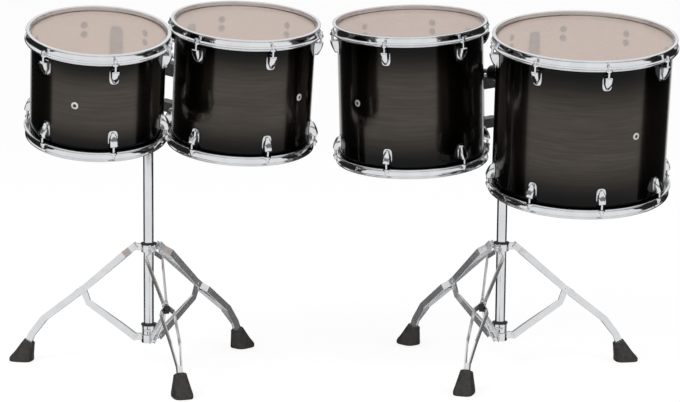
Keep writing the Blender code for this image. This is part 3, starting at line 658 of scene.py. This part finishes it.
def build_vent(drum):
    wall = head_radius(drum) - SHELL_INSET
    inner, outer, rise = 0.0040, 0.0082, 0.0016
    sunk, edge = 0.0010, 0.0005
    aim = (about(drum["vent_at"] - drum["bracket_at"]) @ Matrix.Translation((0, wall, 0))
           @ Matrix.Rotation(-math.pi / 2, 4, "X"))
    section = rounded([(outer, -sunk), (outer, rise * 0.6), (outer * 0.8, rise), (inner, rise),
                       (inner, -sunk)], edge, 2)
    grommet = mesh_of("vent", lambda work: turn_in(work, section, 32, aim))
    add_piece(f"{drum['name']}_vent_grommet", grommet, "grommet", f"{drum['name']}_body",
              drum_frame(drum))
    # Painted shade: a black disc inside the grommet stands in for the dark opening of the vent hole
    disc = [(0, 0.0003), (inner + 0.0004, 0.0003), (inner + 0.0004, -0.0006), (0, -0.0006)]
    hole = mesh_of("vent_hole_painted_shade", lambda work: turn_in(work, disc, 24, aim, closed=False))
    add_piece(f"{drum['name']}_vent_hole_painted_shade", hole, "nylon", f"{drum['name']}_body",
              drum_frame(drum))


def build_hoop(drum, side):
    name = f"{drum['name']}_{'top' if side > 0 else 'bottom'}"
    radius = head_radius(drum)
    rim = drum["depth"] / 2 + RIM_RISE
    low = rim - HOOP_HEIGHT
    section = rounded([(radius + out, rim - down) for out, down in HOOP_SECTION], 0.0011)
    place = flip(side)
    ear_half, ear_centre, ear_reach, ear_thick = 0.0085, 0.0100, 0.0074, 0.0042
    ear_root, ear_edge = 0.0040, 0.0006

    def ring(work):
        turn_in(work, section, sizes().ring_segments, place)

    def ears(work):
        arc = [math.pi * i / 12 for i in range(13)]
        outline = [(ear_half, ear_root)]
        outline += [(ear_half * math.cos(a), ear_centre + ear_reach * math.sin(a)) for a in arc]
        outline += [(-ear_half, ear_root)]
        for turn in lug_turns(drum):
            levels = ((0.0, 0.96), (ear_edge, 1.0), (ear_thick - ear_edge, 1.0),
                      (ear_thick, 0.94))
            loft_in(work, [[place @ turn @ Vector((x * s, radius + y * s + ear_centre * (1 - s),
                                                   low + z)) for x, y in outline]
                           for z, s in levels])

    add_piece(f"{name}_rim_hoop", mesh_of("hoop", ring, 60), "chrome", f"{drum['name']}_body",
              drum_frame(drum), [f"{name}_hoop"])
    add_piece(f"{name}_hoop_ears", mesh_of("ears", ears), "chrome", f"{drum['name']}_body",
              drum_frame(drum))

    lug_top = low - LUG_BELOW_HOOP
    half = sizes().rod_head / 2
    shaft_radius, shaft_in_lug = 0.0028, 0.0040
    washer_radius, washer_high, collar, collar_high = 0.0054, 0.0012, 0.0046, 0.0014
    head_from, head_to, head_edge = 0.0012, 0.0082, 0.0010

    def rods(work):
        for turn in lug_turns(drum):
            aim = place @ turn @ Matrix.Translation((0, radius + ROD_OUT, 0))
            base = low + ear_thick
            seat = base + washer_high
            shaft = [(0, lug_top - shaft_in_lug), (shaft_radius, lug_top - shaft_in_lug),
                     (shaft_radius, base), (washer_radius, base), (washer_radius, seat),
                     (collar, seat), (collar, seat + collar_high), (0, seat + collar_high)]
            turn_in(work, shaft, 20, aim, closed=False)
            square = super_outline(half, half, 0.35, 16)
            start, end = seat + head_from, seat + head_to
            loft_in(work, [[aim @ Vector((x * s, y * s, z)) for x, y in square]
                           for z, s in ((start, 1), (end - head_edge, 1), (end, 0.8))])

    add_piece(f"{name}_tension_rods", mesh_of("rods", rods), "chrome", f"{drum['name']}_body",
              drum_frame(drum))


def build_head(drum, side):
    """Flat film that turns down over the shell's edge into the hoop."""
    name = f"{drum['name']}_{'batter' if side > 0 else 'resonant'}"
    radius = head_radius(drum)
    edge = drum["depth"] / 2
    film = edge + FILM_GAP + FILM
    outline = [(0, film), (radius * 0.5, film), (radius - 0.010, film), (radius - 0.0045, film),
               (radius - 0.0010, film - 0.0002), (radius + 0.0022, film - 0.0014),
               (radius + 0.0024, edge - 0.0080)]
    place = flip(side)

    def build(work):
        turn_in(work, outline, sizes().ring_segments, place, closed=False)

    add_piece(f"{name}_film", mesh_of("film", build), "film", f"{drum['name']}_body",
              drum_frame(drum), [f"{name}_head"])


def build_bracket(drum):
    """The bracket's finish, and the tall plate behind it on the inner wall."""
    dress(f"{drum['name']}_bracket", "black", 0.0012)
    place = drum_frame(drum)
    inner = head_radius(drum) - SHELL_INSET - SHELL_WALL
    top = drum["depth"] / 2 - PLATE_BELOW_EDGE
    foot = (place.inverted() @ Vector(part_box(f"{drum['name']}_bracket")[0])).z

    def plate(work):
        sections = []
        for out, shrink in ((inner - 0.0062, 0.94), (inner - 0.0056, 1.0), (inner - 0.0020, 1.0)):
            ring = super_outline(PLATE_HALF_WIDTH * shrink, (top - foot) / 2 * shrink, 0.3)
            sections.append([Vector((x, out, (top + foot) / 2 + z)) for x, z in ring])
        loft_in(work, sections)

    add_piece(f"{drum['name']}_backing_plate", mesh_of("plate", plate), "steel",
              f"{drum['name']}_body", place)


def build_tubes(stand):
    for node, body in ((f"{stand}_base_tube", f"{stand}_base"),
                       (f"{stand}_upper_tube", f"{stand}_upper")):
        low, high = (Vector(corner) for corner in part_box(node))
        radius = (high.x - low.x) / 2
        if body == f"{stand}_upper":
            high.z -= TUBE_TOP_DROP
        centre = (low + high) / 2
        span = (high.z - low.z) / 2
        bore = radius - TUBE_WALL
        section = rounded([(radius, span), (radius, -span), (bore, -span), (bore, span)], 0.0005)
        tube = mesh_of("tube", lambda work: turn_in(work, section, 64))
        add_piece(f"{node}_plated", tube, "chrome", body, Matrix.Translation(centre),
                  [node])


def build_fittings(stand):
    for node in ("height_clamp", "wing_bolt"):
        dress(f"{stand}_{node}", "chrome", 0.0008)
    for number in LEGS:
        dress(f"{stand}_leg_{number}", "strip", 0.0005)
        dress(f"{stand}_brace_{number}", "strip", 0.0005)


def leg_frame(stand, number):
    """Frame on the mast at floor level, +Y along the leg."""
    joint = next(item for item in frame["record"]["behaviour"]["joints"]
                 if item["name"] == f"{stand}_leg_{number}_fold")
    side = Vector(joint["axis"]).normalized()
    up = Vector((0, 0, 1))
    turn = Matrix((side, up.cross(side), up)).transposed().to_4x4()
    centre = middle_of(f"{stand}_base_tube")
    return Matrix.Translation((centre.x, centre.y, 0)) @ turn


def ear_in(work, place, height):
    """A flat ear with a round end, standing out of a hub."""
    arc = [math.pi / 2 - math.pi * i / 10 for i in range(11)]
    outline = [(HUB_RADIUS - EAR_ROOT, EAR_HALF_HEIGHT)]
    outline += [(PIVOT_OUT + EAR_HALF_HEIGHT * math.cos(a), EAR_HALF_HEIGHT * math.sin(a))
                for a in arc]
    outline += [(HUB_RADIUS - EAR_ROOT, -EAR_HALF_HEIGHT)]
    sections = []
    for side, shrink in ((-1, 0.94), (-0.86, 1), (0.86, 1), (1, 0.94)):
        sections.append([place @ Vector((side * EAR_HALF_WIDTH, y, height + z * shrink))
                         for y, z in outline])
    loft_in(work, sections)


def build_hub(stand, node, body, rings, ear_height):
    """Stacked rings round the tube, three ears and a black nylon ring on top."""
    centre = middle_of(f"{stand}_base_tube")
    place = Matrix.Translation((centre.x, centre.y, 0))

    def metal(work):
        for radius, low, high in rings:
            turn_in(work, rounded([(radius, low), (radius, high), (HUB_BORE, high),
                                   (HUB_BORE, low)], 0.0012), 64)
        for number in LEGS:
            ear_in(work, place.inverted() @ leg_frame(stand, number), ear_height)

    def nylon(work):
        out, low = HUB_RADIUS + NYLON_PROUD, rings[-1][2] + NYLON_GAP
        high = rings[-1][2] + NYLON_THICK
        turn_in(work, rounded([(out, low), (out, high), (HUB_BORE, high), (HUB_BORE, low)],
                              0.0009), 64)

    add_piece(f"{stand}_{node}_rings", mesh_of("hub", metal), "chrome", body, place,
              [f"{stand}_{node}"])
    add_piece(f"{stand}_{node}_nylon", mesh_of("nylon", nylon), "nylon", body, place)


def build_collar_slit(stand):
    """The slit and screw of the clamp collar over the lower hub; the slit is a black strip, painted
    shade for the dark gap.
    """
    centre = middle_of(f"{stand}_base_tube")
    place = Matrix.Translation((centre.x, centre.y, 0)) @ about(SLIT_AT)
    out, half = COLLAR_RADIUS, 0.0011
    low, high = SLIT_SPAN

    # Painted shade: a black strip set into the collar stands in for the dark gap of the slit
    def slit(work):
        loft_in(work, [[Vector((x, y, z)) for x, y in
                        ((-half, out - 0.003), (half, out - 0.003), (half, out + 0.0003),
                         (-half, out + 0.0003))] for z in (low, high)])

    def screw(work):
        middle = (low + high) / 2
        aim = (Matrix.Translation((-0.0085, out - 0.001, middle))
               @ Matrix.Rotation(math.pi / 2, 4, "Y"))
        turn_in(work, [(0, 0), (0.0030, 0), (0.0036, 0.0010), (0.0036, 0.0160), (0.0030, 0.0170),
                       (0, 0.0170)], 16, aim, closed=False)

    add_piece(f"{stand}_collar_slit", mesh_of("slit", slit), "nylon", f"{stand}_base",
              place)
    add_piece(f"{stand}_collar_screw", mesh_of("screw", screw), "chrome", f"{stand}_base",
              place)


def build_hubs(stand):
    build_hub(stand, "leg_hub", f"{stand}_hub", ((HUB_RADIUS, *LEG_HUB_SPAN),), LEG_HUB_EARS)
    build_hub(stand, "brace_hub", f"{stand}_base",
              ((HUB_RADIUS, *BRACE_HUB_SPAN), (COLLAR_RADIUS, *COLLAR_SPAN)), BRACE_HUB_EARS)
    build_collar_slit(stand)


def build_leg_spacer(stand, number):
    """The black spacer that holds a leg's two strips apart beyond the brace's pivot."""
    near, far = (0.1755, 0.1825), (0.1855, 0.1745)
    half_width, half_height, edge = 0.0064, 0.0084, 0.0010
    start, end = Vector((0, *near)), Vector((0, *far))
    along = (end - start).normalized()
    across = Vector((0, -along.z, along.y)) * half_height

    def spacer(work):
        sections = []
        for point, shrink in ((start, 0.9), (start + along * edge, 1),
                              (end - along * edge, 1), (end, 0.9)):
            side = Vector((half_width * shrink, 0, 0))
            sections.append([point - side - across * shrink, point + side - across * shrink,
                             point + side + across * shrink, point - side + across * shrink])
        loft_in(work, sections)

    add_piece(f"{stand}_leg_spacer_{number}", mesh_of("spacer", spacer), "nylon",
              f"{stand}_leg_{number}_body", leg_frame(stand, number))


def build_holder(stand):
    """Black collar on the mast's top with a round housing for each arm's ball."""
    centre = middle_of(f"{stand}_base_tube")
    low, high = (Vector(corner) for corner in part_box(f"{stand}_tom_holder"))
    place = Matrix.Translation((centre.x, centre.y, 0))
    top = high.z - HOLDER_DROP
    balls = [Vector(item["pos_m"]) for item in frame["record"]["behaviour"]["joints"]
             if item["parent"] == f"{stand}_head" and item["name"].endswith("_tilt")]

    def cast(work):
        turn_in(work, rounded([(HOLDER_COLLAR, low.z), (HOLDER_COLLAR, top),
                               (HOLDER_BORE, top), (HOLDER_BORE, low.z)], 0.0025), 48)
        for ball in balls:
            spot = ball - Vector((centre.x, centre.y, 0))
            out = Vector((spot.x, spot.y, 0)).normalized()
            side = out.cross(Vector((0, 0, 1)))
            sections = []
            # From inside the collar to the mouth and back into it: distance from the ball, radius
            for reach, radius in ((-0.0250, 0.0160), (-0.0160, 0.0178), (-0.0060, 0.0196),
                                  (0.0040, 0.0194), (0.0110, 0.0172), (0.0135, 0.0150),
                                  (0.0130, 0.0120), (0.0060, 0.0136)):
                ring = []
                for i in range(24):
                    angle = 2 * math.pi * i / 24
                    ring.append(spot + out * reach + side * radius * math.cos(angle)
                                + Vector((0, 0, radius * math.sin(angle))))
                sections.append(ring)
            loft_in(work, sections)

    add_piece(f"{stand}_ball_holder", mesh_of("holder", cast), "black", f"{stand}_head",
              place, [f"{stand}_tom_holder"])


def build_foot(stand, number):
    """A rubber boot: flared sole, waist, neck and an open mouth round the leg."""
    # Each level: near and far radius, half width, height near and far, exponent of the outline
    levels = (
        (0.3020, 0.3560, 0.0222, 0.0000, 0.0000, 0.56),
        (0.3000, 0.3580, 0.0236, 0.0022, 0.0022, 0.56),
        (0.3000, 0.3578, 0.0236, 0.0105, 0.0088, 0.56),
        (0.3000, 0.3540, 0.0226, 0.0150, 0.0140, 0.56),
        (0.2992, 0.3450, 0.0208, 0.0215, 0.0235, 0.58),
        (0.2982, 0.3370, 0.0188, 0.0290, 0.0340, 0.60),
        (0.2975, 0.3290, 0.0166, 0.0370, 0.0450, 0.60),
        (0.2962, 0.3215, 0.0148, 0.0450, 0.0545, 0.60),
        (0.2970, 0.3205, 0.0138, 0.0462, 0.0560, 0.60),
        (0.2990, 0.3180, 0.0104, 0.0462, 0.0568, 0.50),
        (0.3000, 0.3170, 0.0098, 0.0400, 0.0500, 0.50),
    )

    def build(work):
        sections = []
        for near, far, half, z_near, z_far, power in levels:
            ring = []
            for x, y in super_outline(half, (far - near) / 2, power, 32):
                share = y / (far - near) + 0.5
                ring.append(Vector((x, (near + far) / 2 + y, z_near + (z_far - z_near) * share)))
            sections.append(ring)
        loft_in(work, sections)

    add_piece(f"{stand}_boot_{number}", mesh_of("boot", build, 50), "rubber",
              f"{stand}_leg_{number}_body", leg_frame(stand, number),
              [f"{stand}_foot_{number}"])


# Stage: world, floor, lamps and camera

def build_world():
    """White to the camera, soft to matt surfaces, and a studio with flags to shiny ones."""
    world = bpy.data.worlds.new("studio")
    bpy.context.scene.world = world
    world.use_nodes = True
    tree = world.node_tree
    tree.nodes.clear()
    place = tree.nodes.new("ShaderNodeTexCoord")
    split = tree.nodes.new("ShaderNodeSeparateXYZ")
    tree.links.new(place.outputs["Generated"], split.inputs["Vector"])
    x, y, z = split.outputs
    across = math_node(tree, "SQRT", math_node(tree, "ADD", math_node(tree, "MULTIPLY", x, x),
                                               math_node(tree, "MULTIPLY", y, y)))
    facing = math_node(tree, "DIVIDE", math_node(tree, "MULTIPLY", y, -1.0),
                       math_node(tree, "MAXIMUM", across, 0.001))
    beside = math_node(tree, "MULTIPLY",
                       smooth_range(tree, facing, FLAG_FROM + FLAG_BLUR, FLAG_FROM),
                       smooth_range(tree, facing, FLAG_TO - FLAG_BLUR, FLAG_TO))
    flags = math_node(tree, "MULTIPLY", beside, smooth_range(tree, z, *FLAG_TOP))
    band = math_node(tree, "MULTIPLY", smooth_range(tree, z, *BAND_LOW),
                     smooth_range(tree, z, *BAND_HIGH))
    dark = math_node(tree, "MAXIMUM", flags, math_node(tree, "MULTIPLY", band, BAND_DARKNESS))
    seen = math_node(tree, "SUBTRACT", STUDIO_WHITE, dark)
    rays = tree.nodes.new("ShaderNodeLightPath")
    glossy = tree.nodes.new("ShaderNodeBackground")
    tree.links.new(seen, glossy.inputs["Strength"])
    soft = tree.nodes.new("ShaderNodeBackground")
    soft.inputs["Strength"].default_value = SOFT_LIGHT
    plain = tree.nodes.new("ShaderNodeBackground")
    plain.inputs["Strength"].default_value = 1.0
    first = tree.nodes.new("ShaderNodeMixShader")
    tree.links.new(rays.outputs["Is Glossy Ray"], first.inputs[0])
    tree.links.new(soft.outputs[0], first.inputs[1])
    tree.links.new(glossy.outputs[0], first.inputs[2])
    second = tree.nodes.new("ShaderNodeMixShader")
    tree.links.new(rays.outputs["Is Camera Ray"], second.inputs[0])
    tree.links.new(first.outputs[0], second.inputs[1])
    tree.links.new(plain.outputs[0], second.inputs[2])
    sink = tree.nodes.new("ShaderNodeOutputWorld")
    tree.links.new(second.outputs[0], sink.inputs["Surface"])


def build_floor():
    """A pale floor that keeps shadows and that shiny surfaces look through."""
    corners = [(x * FLOOR_HALF, y * FLOOR_HALF, 0) for x, y in ((-1, -1), (1, -1), (1, 1), (-1, 1))]
    mesh = bpy.data.meshes.new("studio_floor")
    mesh.from_pydata(corners, [], [(0, 1, 2, 3)])
    material = bpy.data.materials.new("studio_floor")
    material.use_nodes = True
    tree = material.node_tree
    tree.nodes.clear()
    matte = tree.nodes.new("ShaderNodeBsdfDiffuse")
    matte.inputs["Color"].default_value = (FLOOR_MATTE, FLOOR_MATTE, FLOOR_MATTE, 1)
    glow = tree.nodes.new("ShaderNodeEmission")
    glow.inputs["Strength"].default_value = FLOOR_GLOW
    both = tree.nodes.new("ShaderNodeAddShader")
    tree.links.new(matte.outputs[0], both.inputs[0])
    tree.links.new(glow.outputs[0], both.inputs[1])
    clear = tree.nodes.new("ShaderNodeBsdfTransparent")
    plain = tree.nodes.new("ShaderNodeBsdfDiffuse")
    plain.inputs["Color"].default_value = (FLOOR_BOUNCE, FLOOR_BOUNCE, FLOOR_BOUNCE, 1)
    rays = tree.nodes.new("ShaderNodeLightPath")
    bounce = tree.nodes.new("ShaderNodeMixShader")
    tree.links.new(rays.outputs["Is Glossy Ray"], bounce.inputs[0])
    tree.links.new(plain.outputs[0], bounce.inputs[1])
    tree.links.new(clear.outputs[0], bounce.inputs[2])
    seen = tree.nodes.new("ShaderNodeMixShader")
    tree.links.new(rays.outputs["Is Camera Ray"], seen.inputs[0])
    tree.links.new(bounce.outputs[0], seen.inputs[1])
    tree.links.new(both.outputs[0], seen.inputs[2])
    sink = tree.nodes.new("ShaderNodeOutputMaterial")
    tree.links.new(seen.outputs[0], sink.inputs["Surface"])
    mesh.materials.append(material)
    floor = bpy.data.objects.new("studio_floor", mesh)
    floor.location.z = -FLOOR_DROP
    bpy.context.scene.collection.objects.link(floor)


def build_lamp(name, place, size, power):
    lamp = bpy.data.lights.new(name, "AREA")
    lamp.shape = "RECTANGLE"
    lamp.size, lamp.size_y = size
    lamp.energy = power
    item = bpy.data.objects.new(name, lamp)
    item.location = place
    aim = Vector(LAMP_TARGET) - Vector(place)
    item.rotation_euler = aim.to_track_quat("-Z", "Y").to_euler()
    item.visible_glossy = False
    bpy.context.scene.collection.objects.link(item)


def build_camera():
    camera = bpy.data.cameras.new("view")
    camera.lens = CAMERA_LENS
    camera.sensor_width = 36
    camera.sensor_fit = "HORIZONTAL"
    camera.clip_end = 200
    item = bpy.data.objects.new("view", camera)
    forward = Vector((0, math.cos(CAMERA_PITCH), -math.sin(CAMERA_PITCH)))
    level, up = Vector((1, 0, 0)), Vector((0, math.sin(CAMERA_PITCH), math.cos(CAMERA_PITCH)))
    c, s = math.cos(CAMERA_ROLL), math.sin(CAMERA_ROLL)
    axes = Matrix((level * c + up * s, up * c - level * s, -forward)).transposed().to_4x4()
    item.matrix_world = Matrix.Translation(CAMERA_PLACE) @ axes
    bpy.context.scene.collection.objects.link(item)
    bpy.context.scene.camera = item


# Operators, one for each group of like pieces

class CONCERT_TOMS_OT_materials(bpy.types.Operator):
    """Make the materials of the set"""
    bl_idname = "concert_toms.materials"
    bl_label = "Materials"

    def execute(self, context):
        build_materials()
        return {"FINISHED"}


class CONCERT_TOMS_OT_shells(bpy.types.Operator):
    """Build the lacquered shells with their vents"""
    bl_idname = "concert_toms.shells"
    bl_label = "Shells"

    def execute(self, context):
        for drum in DRUMS:
            build_shell(drum)
            build_vent(drum)
            build_lug_screws(drum)
        return {"FINISHED"}


class CONCERT_TOMS_OT_lugs(bpy.types.Operator):
    """Build the lugs with their plates and gaskets"""
    bl_idname = "concert_toms.lugs"
    bl_label = "Lugs"

    def execute(self, context):
        for drum in DRUMS:
            build_lugs(drum)
        return {"FINISHED"}


class CONCERT_TOMS_OT_hoops(bpy.types.Operator):
    """Build the flanged hoops, ears and tension rods"""
    bl_idname = "concert_toms.hoops"
    bl_label = "Hoops and rods"

    def execute(self, context):
        for drum in DRUMS:
            for side in (1, -1):
                build_hoop(drum, side)
        return {"FINISHED"}


class CONCERT_TOMS_OT_heads(bpy.types.Operator):
    """Build the clear heads"""
    bl_idname = "concert_toms.heads"
    bl_label = "Heads"

    def execute(self, context):
        for drum in DRUMS:
            for side in (1, -1):
                build_head(drum, side)
        return {"FINISHED"}


class CONCERT_TOMS_OT_mounts(bpy.types.Operator):
    """Finish the brackets and arms that hold the drums"""
    bl_idname = "concert_toms.mounts"
    bl_label = "Brackets and arms"

    def execute(self, context):
        for drum in DRUMS:
            build_bracket(drum)
            dress(f"{drum['name']}_arm", "chrome", 0.0003)
        return {"FINISHED"}


class CONCERT_TOMS_OT_stands(bpy.types.Operator):
    """Build the tubes and finish the hubs, clamps, legs and braces"""
    bl_idname = "concert_toms.stands"
    bl_label = "Stands"

    def execute(self, context):
        for stand in STANDS:
            build_tubes(stand)
            build_fittings(stand)
            build_hubs(stand)
            build_holder(stand)
            for number in LEGS:
                build_leg_spacer(stand, number)
        return {"FINISHED"}


class CONCERT_TOMS_OT_feet(bpy.types.Operator):
    """Build the rubber feet"""
    bl_idname = "concert_toms.feet"
    bl_label = "Feet"

    def execute(self, context):
        for stand in STANDS:
            for number in LEGS:
                build_foot(stand, number)
        return {"FINISHED"}


class CONCERT_TOMS_OT_stage(bpy.types.Operator):
    """Build the studio: world, floor, lamps and camera"""
    bl_idname = "concert_toms.stage"
    bl_label = "Stage"

    def execute(self, context):
        context.scene.view_settings.view_transform = "Standard"
        build_world()
        build_floor()
        for lamp in LAMPS:
            build_lamp(**lamp)
        build_camera()
        return {"FINISHED"}


OPERATORS = (
    CONCERT_TOMS_OT_materials, CONCERT_TOMS_OT_shells, CONCERT_TOMS_OT_lugs,
    CONCERT_TOMS_OT_hoops, CONCERT_TOMS_OT_heads, CONCERT_TOMS_OT_mounts,
    CONCERT_TOMS_OT_stands, CONCERT_TOMS_OT_feet, CONCERT_TOMS_OT_stage,
)


class CONCERT_TOMS_PT_panel(bpy.types.Panel):
    """Lists the steps that build the set"""
    bl_idname = "CONCERT_TOMS_PT_panel"
    bl_label = "Concert Toms"
    bl_space_type = "VIEW_3D"
    bl_region_type = "UI"
    bl_category = "Toms"

    def draw(self, context):
        column = self.layout.column()
        for group in (context.scene.concert_tom_finish, context.scene.concert_tom_sizes):
            for name in group.__annotations__:
                column.prop(group, name)
        for operator in OPERATORS:
            column.operator(operator.bl_idname)


CLASSES = (ConcertTomFinish, ConcertTomSizes, *OPERATORS, CONCERT_TOMS_PT_panel)


def register():
    for item in CLASSES:
        bpy.utils.register_class(item)
    bpy.types.Scene.concert_tom_finish = bpy.props.PointerProperty(type=ConcertTomFinish)
    bpy.types.Scene.concert_tom_sizes = bpy.props.PointerProperty(type=ConcertTomSizes)


def unregister():
    del bpy.types.Scene.concert_tom_sizes
    del bpy.types.Scene.concert_tom_finish
    for item in reversed(CLASSES):
        bpy.utils.unregister_class(item)


def main():
    register()
    bpy.ops.concert_toms.materials()
    bpy.ops.concert_toms.shells()
    bpy.ops.concert_toms.lugs()
    bpy.ops.concert_toms.hoops()
    bpy.ops.concert_toms.heads()
    bpy.ops.concert_toms.mounts()
    bpy.ops.concert_toms.stands()
    bpy.ops.concert_toms.feet()
    bpy.ops.concert_toms.stage()


if __name__ == "__main__":
    main()
